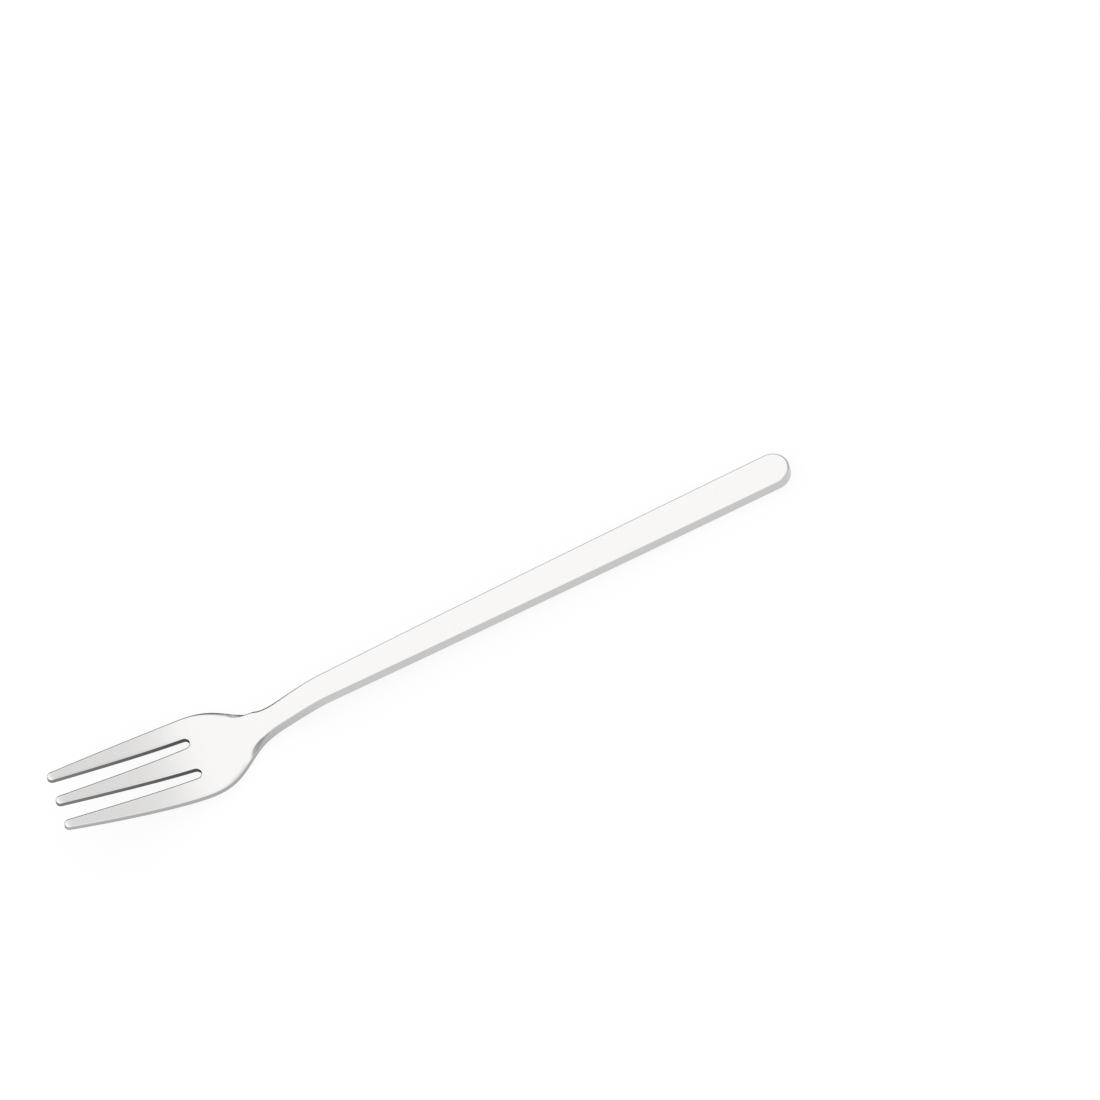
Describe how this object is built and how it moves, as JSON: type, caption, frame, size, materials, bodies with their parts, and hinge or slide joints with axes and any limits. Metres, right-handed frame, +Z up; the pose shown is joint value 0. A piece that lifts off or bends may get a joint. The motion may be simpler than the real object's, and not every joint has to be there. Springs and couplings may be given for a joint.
{
  "type": "pastry fork",
  "caption": "Slim stainless steel pastry fork: straight tapered tines on a thin palm, a stout drawn-in neck and a long plain handle with a round end",
  "frame": {"origin": "on the table plane, under the middle of the fork's length and width", "axes": "+X runs along the fork from the tips of the tines to the end of the handle, +Y across it, +Z up from the table; the fork lies at rest, hollow side up"},
  "size_m": [0.1499, 0.0182, 0.0099],
  "materials": {
    "steel": "bright polished stainless steel with fine wiping marks"
  },
  "bodies": {
    "root": {"fork": "steel"}
  },
  "joints": []
}
